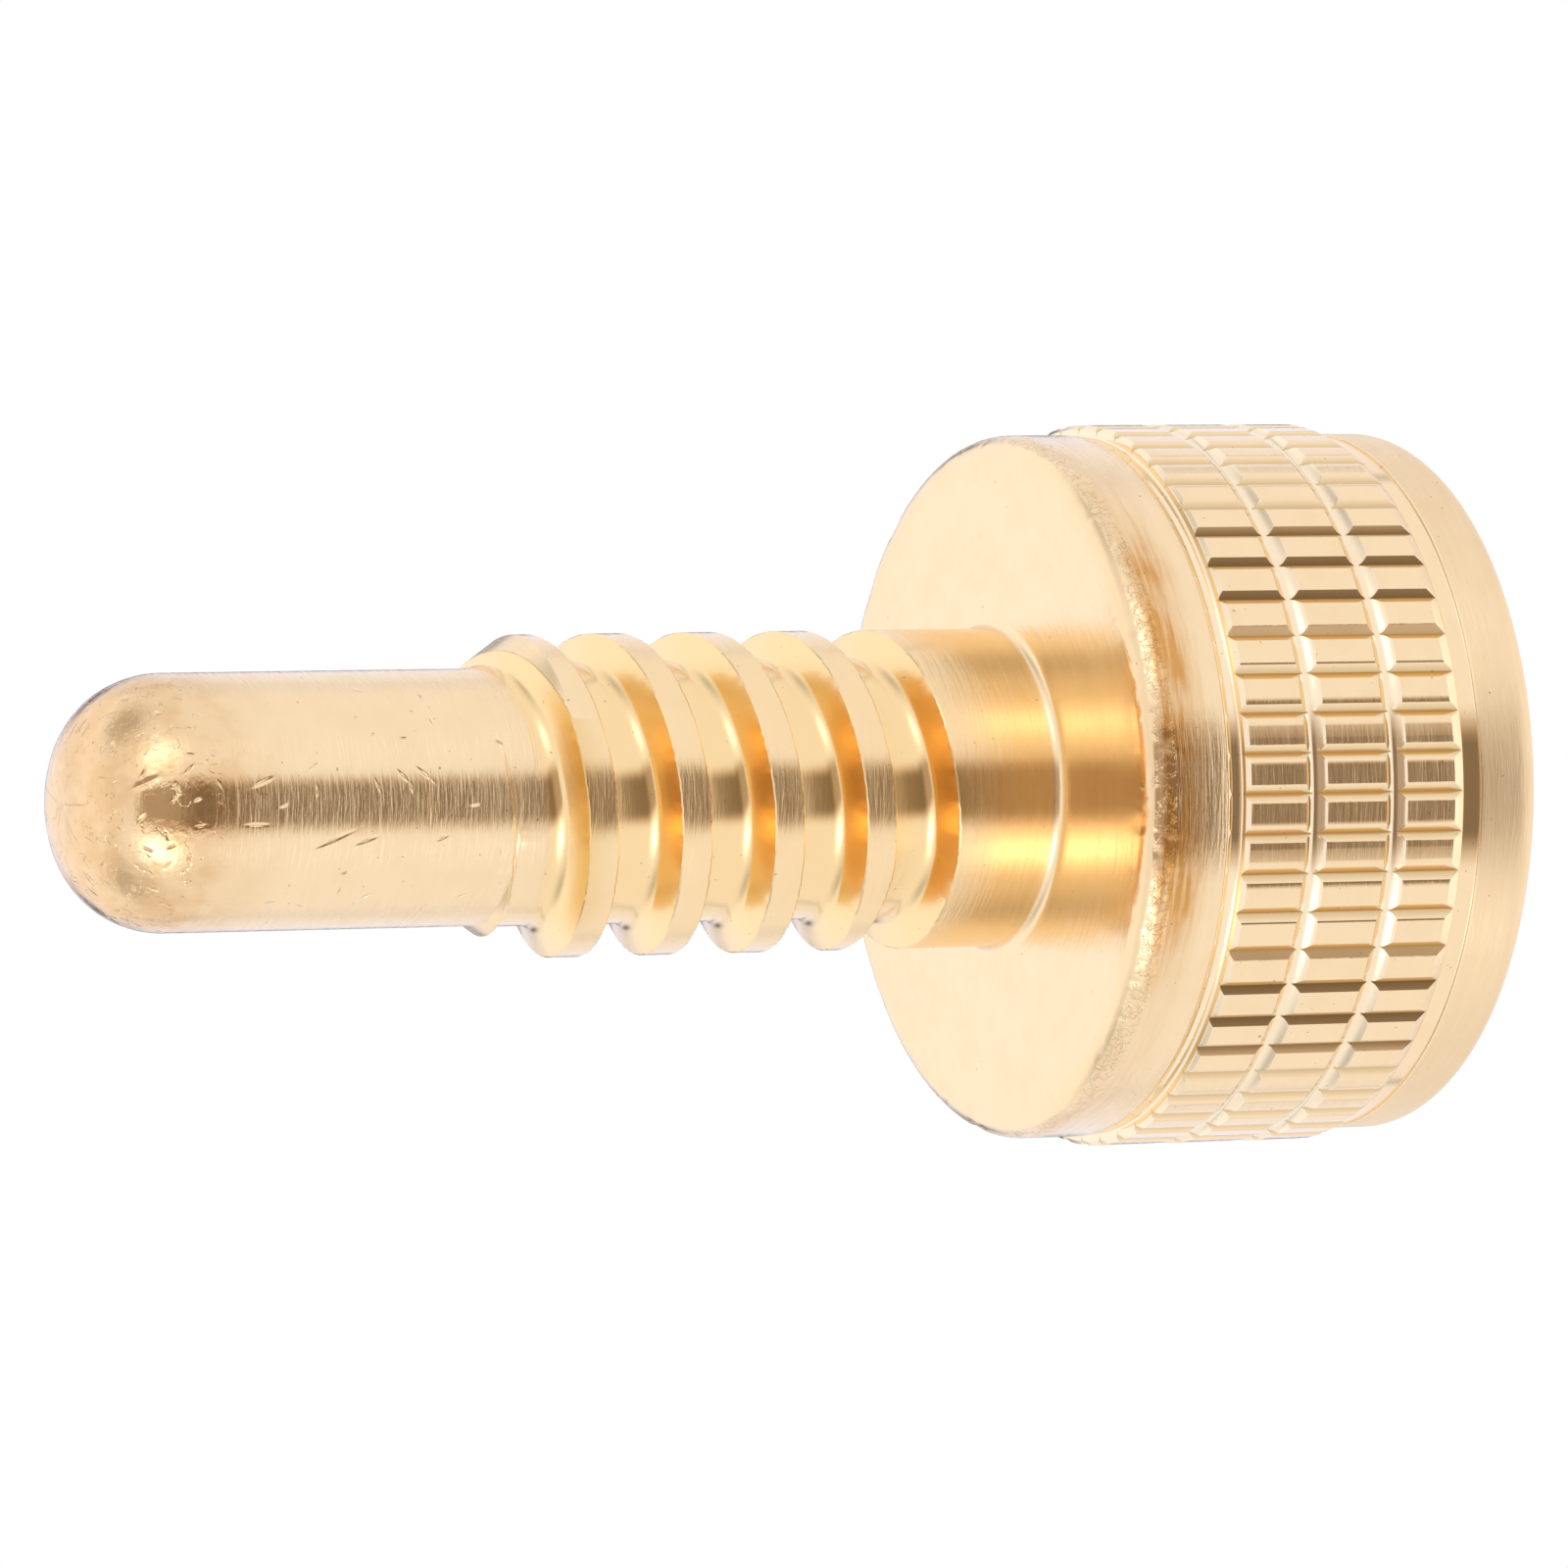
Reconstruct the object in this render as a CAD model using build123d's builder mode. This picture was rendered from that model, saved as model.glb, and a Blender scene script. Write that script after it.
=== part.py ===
"""Cue weight screw: one brass piece turned from the bar, with a knurled head, a plain shank, a coarse
right-hand thread and a round-nosed pilot.

Millimetres, +Z up. The screw stands on the rear face of its head, with the pilot's nose at the top and
the axis of turning on Z.
"""

import os
from math import ceil

from build123d import *

# Head: two smooth lands with the knurled belt between them
head_length = 11.0
land_diameter = 17.7
rear_land_width = 1.78
front_land_width = 2.01
rear_edge_round = 0.72
front_edge_round = 0.62
root_round = 0.25

# Turned reliefs on both sides of the belt
relief_width = 0.54
relief_depth = 0.05

# Knurled belt
belt_diameter = 18.2
belt_rear_slope = 0.34
belt_front_slope = 0.09
knurl_count = 56
knurl_depth = 0.14
knurl_groove_width = 0.4
knurl_phase_angle = 0.41
ring_place_shares = (0.286, 0.679)
ring_groove_width = 0.6
ring_groove_depth = 0.18

# Shank and thread
shank_length = 2.68
thread_diameter = 8.0
core_diameter = 6.4
thread_pitch = 2.52
thread_length = 10.47
crest_width = 0.78
rear_flank_width = 0.385
front_flank_width = 0.14
lead_in_length = 1.25

# End of the thread: on +X the cutter stops feeding, then it dwells and is drawn out
dwell_arc = 50.0
draw_out_offset = 1.1
draw_out_arc = 84.0

# Pilot
pilot_diameter = 6.35
pilot_length = 10.8
nose_round = 2.6

# How far a cutter reaches past the metal that it cuts
overrun = 0.6

# Radii
land_radius = land_diameter / 2
relief_radius = land_radius - relief_depth
belt_radius = belt_diameter / 2
thread_radius = thread_diameter / 2
core_radius = core_diameter / 2
pilot_radius = pilot_diameter / 2

# Heights: the belt fills the head between the two lands and their reliefs
belt_foot_low = rear_land_width + relief_width
belt_top_low = belt_foot_low + belt_rear_slope
front_land_low = head_length - front_land_width
belt_foot_high = front_land_low - relief_width
belt_top_high = belt_foot_high - belt_front_slope
thread_low = head_length + shank_length
lead_in_low = thread_low + thread_length
pilot_low = lead_in_low + lead_in_length
nose_tip = pilot_low + pilot_length

# Thread groove, seen in a plane through the axis
groove_mouth = thread_pitch - crest_width
groove_end_height = thread_low + groove_mouth / 2
groove_depth = thread_radius - core_radius
cutter_radius = thread_radius + overrun
cutter_rear_reach = groove_mouth / 2 + overrun * rear_flank_width / groove_depth
cutter_front_reach = groove_mouth / 2 + overrun * front_flank_width / groove_depth
feed_turns = ceil((thread_length + lead_in_length + overrun) / thread_pitch)

draw_out_plane = Plane.XZ.rotated((0, 0, -dwell_arc))
draw_out_axis = Axis(draw_out_plane.origin - draw_out_plane.x_dir * draw_out_offset, (0, 0, -1))


def groove_section(plane):
    """Trapezoid of the thread groove in a plane through the axis, at the height where the feed stops."""
    with BuildSketch(plane) as section:
        with BuildLine():
            Polyline(
                (core_radius, groove_end_height - groove_mouth / 2 + rear_flank_width),
                (core_radius, groove_end_height + groove_mouth / 2 - front_flank_width),
                (cutter_radius, groove_end_height + cutter_front_reach),
                (cutter_radius, groove_end_height - cutter_rear_reach),
                close=True,
            )
        make_face()
    return section.sketch


# Metal that the thread cutter takes away in one turn of its right-hand helix, from +X
with BuildPart() as thread_turn:
    with BuildLine(Plane.XY.offset(groove_end_height)) as feed:
        Helix(pitch=thread_pitch, height=thread_pitch, radius=core_radius)
    sweep(groove_section(Plane.XZ), path=feed.line, is_frenet=True)

with BuildPart() as weight_screw:
    # Bar turned to its outline, before the thread and the knurl are cut
    with BuildSketch(Plane.XZ) as outline:
        with BuildLine():
            Polyline(
                (0, 0),
                (land_radius, 0),
                (land_radius, rear_land_width),
                (relief_radius, rear_land_width),
                (relief_radius, belt_foot_low),
                (belt_radius, belt_top_low),
                (belt_radius, belt_top_high),
                (relief_radius, belt_foot_high),
                (relief_radius, front_land_low),
                (land_radius, front_land_low),
                (land_radius, head_length),
                (thread_radius, head_length),
                (thread_radius, lead_in_low),
                (pilot_radius, pilot_low),
                (pilot_radius, nose_tip),
                (0, nose_tip),
                close=True,
            )
        make_face()
        for corner, corner_round in (
            ((land_radius, 0), rear_edge_round),
            ((land_radius, head_length), front_edge_round),
            ((thread_radius, head_length), root_round),
            ((pilot_radius, nose_tip), nose_round),
        ):
            fillet(outline.vertices().sort_by_distance(corner)[0], radius=corner_round)
    revolve(axis=Axis.Z)

    # Thread: one turn of the groove after another, from the shank out past the lead-in
    for turn in range(feed_turns):
        with Locations((0, 0, turn * thread_pitch)):
            add(thread_turn.part, mode=Mode.SUBTRACT)

    # The cutter dwells at one height, then is drawn out along an arc that leaves the axis
    revolve(groove_section(Plane.XZ), axis=-Axis.Z, revolution_arc=dwell_arc, mode=Mode.SUBTRACT)
    revolve(
        groove_section(draw_out_plane), axis=draw_out_axis, revolution_arc=draw_out_arc, mode=Mode.SUBTRACT
    )

    # Two ring grooves part the belt into three rows
    with BuildSketch(Plane.XZ) as rings:
        for ring_place_share in ring_place_shares:
            ring_height = belt_top_low + ring_place_share * (belt_top_high - belt_top_low)
            with BuildLine():
                Polyline(
                    (belt_radius - ring_groove_depth, ring_height),
                    (belt_radius, ring_height + ring_groove_width / 2),
                    (belt_radius + overrun, ring_height + ring_groove_width / 2),
                    (belt_radius + overrun, ring_height - ring_groove_width / 2),
                    (belt_radius, ring_height - ring_groove_width / 2),
                    close=True,
                )
            make_face()
    revolve(axis=Axis.Z, mode=Mode.SUBTRACT)

    # Straight knurl: V grooves along the belt, all the way round
    with BuildSketch(Plane.XY.offset(belt_foot_low)):
        with PolarLocations(belt_radius, knurl_count, start_angle=knurl_phase_angle):
            Polygon(
                (-knurl_depth, 0),
                (0, -knurl_groove_width / 2),
                (overrun, -knurl_groove_width / 2),
                (overrun, knurl_groove_width / 2),
                (0, knurl_groove_width / 2),
                align=None,
            )
    extrude(amount=belt_foot_high - belt_foot_low, mode=Mode.SUBTRACT)

weight_screw.part.label = "weight_screw"

os.makedirs("parts", exist_ok=True)
export_step(weight_screw.part, "parts/weight_screw.step")
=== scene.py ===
"""Brass cue weight screw: the turned, threaded and knurled piece, its brass, and the studio round it."""

from math import atan2, cos, pi, radians, sin, tau

import bpy
from bpy.props import FloatProperty, FloatVectorProperty, IntProperty, PointerProperty
from mathutils import Matrix, Vector


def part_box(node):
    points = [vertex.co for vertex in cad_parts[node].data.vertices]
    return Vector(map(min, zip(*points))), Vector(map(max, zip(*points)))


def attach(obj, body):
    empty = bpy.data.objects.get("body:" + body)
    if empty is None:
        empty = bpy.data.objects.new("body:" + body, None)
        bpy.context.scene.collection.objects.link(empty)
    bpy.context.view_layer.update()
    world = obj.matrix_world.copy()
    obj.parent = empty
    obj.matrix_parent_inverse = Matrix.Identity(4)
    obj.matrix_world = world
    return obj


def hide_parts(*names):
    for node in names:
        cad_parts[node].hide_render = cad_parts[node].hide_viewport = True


bl_info = {
    "name": "Cue weight screw",
    "version": (1, 0, 0),
    "blender": (4, 5, 0),
    "location": "View3D > Sidebar > Weight screw",
    "description": "Turns a brass cue weight screw and sets it in a pale studio",
    "category": "Add Mesh",
}

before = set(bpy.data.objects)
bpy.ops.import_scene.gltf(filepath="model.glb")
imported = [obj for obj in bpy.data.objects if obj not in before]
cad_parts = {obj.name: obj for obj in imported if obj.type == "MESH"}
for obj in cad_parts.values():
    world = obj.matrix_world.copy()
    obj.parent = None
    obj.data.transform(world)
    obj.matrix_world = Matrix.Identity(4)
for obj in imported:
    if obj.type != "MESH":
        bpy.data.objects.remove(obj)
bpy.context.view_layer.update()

SCREW_NODE = "weight_screw"
MM = 0.001
PER_METRE = 1000.0

screw_low, screw_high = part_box(SCREW_NODE)


def length(label, description, default):
    """A size of the screw, given here in millimetres."""
    return FloatProperty(
        name=label, description=description, default=default * MM, min=0, precision=5, unit="LENGTH"
    )


def angle(label, description, default):
    """An angle, given here in degrees."""
    return FloatProperty(name=label, description=description, default=radians(default), subtype="ANGLE")


def count(label, description, default):
    return IntProperty(name=label, description=description, default=default, min=1)


def share(label, description, default, most=1.0):
    return FloatProperty(name=label, description=description, default=default, min=0, max=most)


def colour(label, description, default):
    return FloatVectorProperty(
        name=label, description=description, default=default, min=0, max=1, size=3, subtype="COLOR"
    )


class HeadSizes(bpy.types.PropertyGroup):
    """Round head: two lands, two reliefs and the knurled belt."""

    head_length: length("Head length", "Rear face to front face", 11.0)
    land_diameter: length("Land diameter", "Smooth parts of the head", 17.7)
    rear_land: length("Rear land", "Width of the rear land", 1.78)
    front_land: length("Front land", "Width of the front land", 2.11)
    rear_round: length("Rear round", "Rounding of the rear edge", 0.72)
    front_round: length("Front round", "Rounding of the front edge", 0.62)
    land_fall: length("Land fall", "Rounded-off edge of the front land beside the relief", 0.16)
    rear_relief: length("Rear relief", "Polished strip behind the belt", 0.54)
    front_relief: length("Front relief", "Polished strip in front of the belt", 0.44)
    relief_depth: length("Relief depth", "Step down from the land", 0.05)
    belt_diameter: length("Belt diameter", "Over the knurl", 18.2)
    rear_slope: length("Rear slope", "Length of the belt's rear slope", 0.34)
    rear_drop: length("Rear drop", "Drop of the belt's rear slope", 0.185)
    front_slope: length("Front slope", "Length of the worn bevel in front of the belt", 0.1)
    front_drop: length("Front drop", "Drop of that bevel", 0.11)
    knurl_count: count("Knurl grooves", "Grooves round the belt", 56)
    knurl_depth: length("Knurl depth", "Depth of a groove", 0.155)
    knurl_flank: length("Knurl flank", "Half width of the steep part of a groove", 0.19)
    knurl_bevel: length("Knurl bevel", "Width of the worn bevel along a groove", 0.045)
    bevel_depth: length("Bevel depth", "Depth of the worn bevel", 0.012)
    knurl_phase: angle("Knurl phase", "Where the first groove is", 0.41)
    ring_rear: share("Rear ring", "Place of the rear ring groove along the belt", 0.286)
    ring_front: share("Front ring", "Place of the front ring groove along the belt", 0.679)
    ring_width: length("Ring width", "Mouth of a ring groove", 0.6)
    ring_depth: length("Ring depth", "Depth of a ring groove", 0.163)


class ThreadSizes(bpy.types.PropertyGroup):
    """Plain shank and coarse right-hand thread."""

    diameter: length("Diameter", "Outside of the thread", 8.0)
    core: length("Core", "Floor of the groove", 6.4)
    pitch: length("Pitch", "Rise in one turn", 2.52)
    shank: length("Shank", "Plain length before the thread", 2.68)
    thread_length: length("Thread length", "Shank to lead-in", 10.47)
    lead_in: length("Lead-in", "Length of the cone at the thread's start", 1.25)
    crest: length("Crest", "Flat top of the ridge", 0.78)
    rear_flank: length("Rear flank", "Axial width of the flank that faces the nose", 0.385)
    front_flank: length("Front flank", "Axial width of the flank that faces the head", 0.14)
    rear_fillet: length("Rear fillet", "Rounding at the foot of the flank that faces the nose", 0.4)
    front_fillet: length("Front fillet", "Rounding at the foot of the flank that faces the head", 0.07)
    edge_wear: length("Edge wear", "Bevel along the crest's edges", 0.025)
    root_round: length("Root round", "Rounding between shank and face", 0.25)
    dwell: angle("Dwell", "Arc on which the cutter stays at one height", 50.0)
    draw_out: length("Draw-out", "Offset of the arc on which the cutter leaves", 1.1)


class PilotSizes(bpy.types.PropertyGroup):
    """Smooth round-nosed pilot."""

    diameter: length("Diameter", "Outside of the pilot", 6.35)
    tip: length("Tip", "Height of the nose above the rear face", (screw_high.z - screw_low.z) / MM)
    nose_round: length("Nose round", "Rounding of the nose", 2.6)


class BrassFinish(bpy.types.PropertyGroup):
    """Colours and marks of the bare brass."""

    brass: colour("Brass", "Clean turned brass", (0.92, 0.67, 0.345))
    tarnish: colour("Tarnish", "Brown film along the front edge", (0.66, 0.32, 0.08))
    turned_roughness: share("Turned roughness", "Brushed surfaces", 0.17)
    polished_roughness: share("Polished roughness", "Relief strips", 0.07)


class StudioLight(bpy.types.PropertyGroup):
    """Camera, floor and the soft light round the screw."""

    camera_azimuth: angle("Camera azimuth", "Direction of the camera round the screw", 28.0)
    camera_elevation: angle("Camera elevation", "Height of the camera above the horizon", 25.4811)
    camera_roll: angle("Camera roll", "Turn of the picture", 1.0846)
    camera_distance: length("Camera distance", "From the point looked at", 294.519)
    look_height: length("Look height", "Point on the axis that is looked at", 16.7476)
    look_offset: length("Look offset", "How far above the axis the camera looks", 0.1814)
    floor_radius: length("Floor radius", "Flat part of the floor", 600.0)
    floor_rise: length("Floor rise", "Height of the floor's curved edge", 500.0)
    tent: colour("Tent", "Cool white of the light tent", (0.76, 0.8, 1.0))
    brightness: share("Brightness", "Light of the tent", 1.37, 10.0)
    floor: colour("Floor", "Pale lit floor", (1.0, 1.0, 1.0))


class Wire:
    """A socket that takes part in Python sums; each sum adds its Math node."""

    def __init__(self, board, socket):
        self.board = board
        self.socket = socket

    def reckon(self, operation, *others):
        return self.board.reckon(operation, self, *others)

    def __add__(self, other):
        return self.reckon("ADD", other)

    __radd__ = __add__

    def __sub__(self, other):
        return self.reckon("SUBTRACT", other)

    def __rsub__(self, other):
        return self.board.reckon("SUBTRACT", other, self)

    def __mul__(self, other):
        return self.reckon("MULTIPLY", other)

    __rmul__ = __mul__

    def __truediv__(self, other):
        return self.reckon("DIVIDE", other)

    def __rtruediv__(self, other):
        return self.board.reckon("DIVIDE", other, self)

    def __mod__(self, other):
        return self.reckon("FLOORED_MODULO", other)

    def __neg__(self):
        return self.reckon("MULTIPLY", -1.0)

    def __abs__(self):
        return self.reckon("ABSOLUTE")

    def least(self, other):
        return self.reckon("MINIMUM", other)

    def most(self, other):
        return self.reckon("MAXIMUM", other)

    def within(self, low, high):
        return self.most(low).least(high)

    def floor(self):
        return self.reckon("FLOOR")

    def root(self):
        return self.most(0.0).reckon("SQRT")

    def bell(self):
        """1 at zero and falling away on both sides."""
        return (-(self * self)).reckon("EXPONENT")

    def ramp(self, start, stop):
        """0 before start, 1 after stop, smooth between."""
        return self.board.add(
            "ShaderNodeMapRange",
            {"interpolation_type": "SMOOTHSTEP"},
            {"Value": self, "From Min": start, "From Max": stop, "To Min": 0.0, "To Max": 1.0},
        )

    def band(self, low, high, soft):
        """1 between low and high, with soft edges outside them."""
        return self.ramp(low - soft, low) * (1 - self.ramp(high, high + soft))


class Board:
    """A node tree being wired."""

    def __init__(self, tree):
        self.tree = tree

    def feed(self, socket, value):
        if isinstance(value, (list, tuple)) and value and isinstance(value[0], Wire):
            for wire in reversed(value):
                self.tree.links.new(wire.socket, socket)
        elif isinstance(value, Wire):
            self.tree.links.new(value.socket, socket)
        else:
            socket.default_value = value

    def add(self, kind, settings=None, sockets=None, output=0):
        """Adds a node, its settings first and then its sockets, and returns one of its outputs."""
        node = self.tree.nodes.new(kind)
        for name, value in (settings or {}).items():
            setattr(node, name, value)
        for name, value in (sockets or {}).items():
            self.feed(self.pick(node.inputs, name), value)
        return Wire(self, self.pick(node.outputs, output)) if node.outputs else None

    @staticmethod
    def pick(sockets, name):
        if isinstance(name, int):
            return [socket for socket in sockets if socket.enabled][name]
        return next(socket for socket in sockets if socket.name == name and socket.enabled)

    def reckon(self, operation, *values):
        return self.add("ShaderNodeMath", {"operation": operation}, dict(enumerate(values)))

    def join(self, x, y, z):
        return self.add("ShaderNodeCombineXYZ", sockets={"X": x, "Y": y, "Z": z})

    def split(self, vector):
        return [
            self.add("ShaderNodeSeparateXYZ", sockets={"Vector": vector}, output=axis)
            for axis in ("X", "Y", "Z")
        ]

    def noise(self, vector, scale, detail=2.0, rough=0.5, output=0):
        return self.add(
            "ShaderNodeTexNoise",
            sockets={"Vector": vector, "Scale": scale, "Detail": detail, "Roughness": rough},
            output=output,
        )

    def blend(self, share_of_second, first, second):
        """Colour between two others."""
        return self.add(
            "ShaderNodeMix",
            {"data_type": "RGBA"},
            {"Factor": share_of_second, "A": first, "B": second},
        )


class ShapeBoard(Board):
    """A Geometry Nodes tree with named inputs."""

    def __init__(self, name):
        super().__init__(bpy.data.node_groups.new(name, "GeometryNodeTree"))
        self.values = {}
        self.tree.interface.new_socket("Geometry", in_out="INPUT", socket_type="NodeSocketGeometry")
        self.tree.interface.new_socket("Geometry", in_out="OUTPUT", socket_type="NodeSocketGeometry")
        self.entry = self.tree.nodes.new("NodeGroupInput")
        self.geometry = Wire(self, self.entry.outputs["Geometry"])

    def size(self, name, value):
        """A named input of the tree and the value that its modifier gives it."""
        kind = "NodeSocketInt" if isinstance(value, int) else "NodeSocketFloat"
        item = self.tree.interface.new_socket(name, in_out="INPUT", socket_type=kind)
        self.values[item.identifier] = value
        return Wire(self, self.entry.outputs[name])

    def recall(self, name, points, row, kind="FLOAT"):
        """An attribute of the template points, read at a row."""
        field = self.add("GeometryNodeInputNamedAttribute", {"data_type": kind}, {"Name": name})
        return self.sample(points, field, row, kind)

    def sample(self, points, field, row, kind):
        return self.add(
            "GeometryNodeSampleIndex",
            {"data_type": kind, "domain": "POINT"},
            {"Geometry": points, "Value": field, "Index": row},
        )

    def finish(self, geometry):
        leave = self.tree.nodes.new("NodeGroupOutput")
        self.tree.links.new(geometry.socket, leave.inputs["Geometry"])

    def shape(self, obj):
        """Runs the tree on an object and leaves the result as its plain mesh."""
        modifier = obj.modifiers.new(self.tree.name, "NODES")
        modifier.node_group = self.tree
        for identifier, value in self.values.items():
            modifier[identifier] = value
        bpy.context.view_layer.update()
        ready = obj.evaluated_get(bpy.context.evaluated_depsgraph_get())
        mesh = bpy.data.meshes.new_from_object(ready)
        if not mesh.polygons:
            raise RuntimeError(f"{self.tree.name} made no faces")
        obj.modifiers.remove(modifier)
        obj.data = mesh
        return obj


# Parts of the template: rows of the head's outline, of the pilot's outline and of the thread groove
HEAD, PILOT, GROOVE = range(3)
# Rows that the thread has beside its groove: the last groove's edge, and the lead-in's two edges
GROOVE_ROW, LAST_EDGE, CONE_START, CONE_FOOT = range(4)
# Mesh: columns of one knurl groove and of its flank, rows of half a ring groove, columns round the shaft,
# and columns of the thread's strip, of its drawn-out end, and of the ends where it closes to a ring
COLUMNS_PER_GROOVE = 12
FLANK_STEPS = 3
RING_STEPS = 6
SHAFT_COLUMNS = 216
DRAW_OUT_COLUMNS = 84
THREAD_COLUMNS = 1072
CLOSING_COLUMNS = 2
SHARP_BEND = radians(19.0)

# Turns of the thread, counted from where the feed stops: the burr that runs on from the first ridge, and the
# part of that ridge's flank where an amber reflection of the groove's walls is painted
BURR_TURNS = (3.95, 4.08, 0.09)
PAINTED_AMBER_TURNS = (3.97, 4.15, 0.08)


def arc(centre_radius, centre_height, bend, start, stop, steps):
    """Points of an arc in the outline's plane, from one angle to the other in degrees."""
    turns = [radians(start + (stop - start) * step / steps) for step in range(steps + 1)]
    return [(centre_radius + bend * cos(turn), centre_height + bend * sin(turn)) for turn in turns]


def run(start, stop, steps):
    """Points of a straight run, without its start."""
    return [
        tuple(a + (b - a) * step / steps for a, b in zip(start, stop)) for step in range(1, steps + 1)
    ]


class Template:
    """Points with attributes, from which Geometry Nodes turns the screw."""

    attributes = ("part", "lean", "drop", "shaft", "side", "kind", "smooth", "ring", "burr")

    def __init__(self):
        self.points = []
        self.rows = []

    def add(self, point, **given):
        self.points.append(point)
        self.rows.append([float(given.get(name, 0.0)) for name in self.attributes])

    def mesh(self, name):
        made = bpy.data.meshes.new(name)
        made.from_pydata(self.points, [], [])
        for place, attribute in enumerate(self.attributes):
            layer = made.attributes.new(attribute, "FLOAT", "POINT")
            layer.data.foreach_set("value", [row[place] for row in self.rows])
        return made


def head_heights(head):
    """Heights on the head, from its rear face."""
    belt_foot_low = head.rear_land + head.rear_relief
    belt_top_low = belt_foot_low + head.rear_slope
    front_land_low = head.head_length - head.front_land
    belt_foot_high = front_land_low - head.front_relief
    belt_top_high = belt_foot_high - head.front_slope
    return belt_foot_low, belt_top_low, belt_top_high, belt_foot_high, front_land_low


def add_head_rows(template, head, thread):
    """Outline of the head and the shank, from the middle of the rear face to the thread."""
    land = head.land_diameter / 2
    relief = land - head.relief_depth
    belt = head.belt_diameter / 2
    foot_low, top_low, top_high, foot_high, front_low = head_heights(head)
    step = head.relief_depth
    shaft = thread.diameter / 2
    face = head.head_length
    rows = [(0.0, 0.0)]
    rear_edge = arc(land - head.rear_round, head.rear_round, head.rear_round, -90, 0, 10)
    rows += run(rows[0], rear_edge[0], 3)[:-1] + rear_edge
    rows += run(rows[-1], (land, head.rear_land - step / 10), 2)
    rows += [(relief, head.rear_land + step / 10)]
    rows += run(rows[-1], (relief, foot_low), 2) + [(belt - head.rear_drop, foot_low)]
    for radius, height in rows:
        template.add((radius, 0.0, height), part=HEAD)

    lean = -head.rear_slope / head.rear_drop
    template.add((belt, 0.0, top_low), part=HEAD, lean=lean, drop=head.rear_drop)
    start = top_low
    for place in (head.ring_rear, head.ring_front):
        ring = top_low + place * (top_high - top_low)
        template.add((belt, 0.0, (start + ring - head.ring_width / 2) / 2), part=HEAD)
        for place_across in range(-RING_STEPS, RING_STEPS + 1):
            sunk = head.ring_depth * (1 - (place_across / RING_STEPS) ** 2)
            side = (place_across > 0) - (place_across < 0)
            smooth = 0.8 if abs(place_across) < RING_STEPS else 0.0
            template.add((belt - sunk, 0.0, ring), part=HEAD, ring=1, side=side, smooth=smooth)
        start = ring + head.ring_width / 2
    template.add((belt, 0.0, (start + top_high) / 2), part=HEAD)
    lean = head.front_slope / head.front_drop
    template.add((belt, 0.0, top_high), part=HEAD, lean=lean, drop=head.front_drop)

    rows = [(belt - head.front_drop, foot_high), (relief + step, foot_high + 0.3 * step)]
    rows += [(relief + 0.3 * step, foot_high + 0.8 * step), (relief, foot_high + 1.5 * step)]
    rows += [(relief, front_low - head.land_fall), (land - 0.4 * step, front_low - head.land_fall / 2)]
    rows += [(land, front_low)]
    front_edge = arc(land - head.front_round, face - head.front_round, head.front_round, 0, 90, 18)
    rows += run(rows[-1], front_edge[0], 5)[:-1] + front_edge
    inner = (shaft + 0.45 * (land - shaft), face)
    rows += run(rows[-1], inner, 6)
    for radius, height in rows:
        template.add((radius, 0.0, height), part=HEAD)

    root = arc(shaft + thread.root_round, face + thread.root_round, thread.root_round, -90, -180, 8)
    rows = run(inner, root[0], 6) + root[1:]
    rows += run(rows[-1], (shaft, thread_low_ring(head, thread)), 8)
    for radius, height in rows:
        template.add((radius, 0.0, height), part=HEAD, shaft=1)


def thread_low_ring(head, thread):
    """Height of the ring on the shank where the thread's faces begin."""
    return head.head_length + thread.shank - 2 * thread.edge_wear - 0.05 * thread.pitch


def groove_sizes(thread):
    """Half width of the groove's mouth, and its depth."""
    return (thread.pitch - thread.crest) / 2, (thread.diameter - thread.core) / 2


def groove_end_height(head, thread):
    """Height of the groove's middle where the feed stops."""
    return head.head_length + thread.shank + groove_sizes(thread)[0]


def thread_top_ring(head, thread):
    """Height of the ring on the pilot where the thread's faces end."""
    last_turn = head.knurl_phase + (THREAD_COLUMNS - DRAW_OUT_COLUMNS) * tau / SHAFT_COLUMNS
    half_floor = groove_sizes(thread)[0] - thread.front_flank
    return groove_end_height(head, thread) + thread.pitch * last_turn / tau + half_floor


def add_pilot_rows(template, head, thread, pilot):
    """Outline of the pilot, from the thread to the middle of the nose."""
    radius = pilot.diameter / 2
    nose = arc(radius - pilot.nose_round, pilot.tip - pilot.nose_round, pilot.nose_round, 0, 90, 32)
    rows = [(radius, thread_top_ring(head, thread))]
    rows += run(rows[0], nose[0], 10)[:-1] + nose + run(nose[-1], (0.0, pilot.tip), 3)
    for across, height in rows:
        template.add((across, 0.0, height), part=PILOT, shaft=1)


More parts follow.
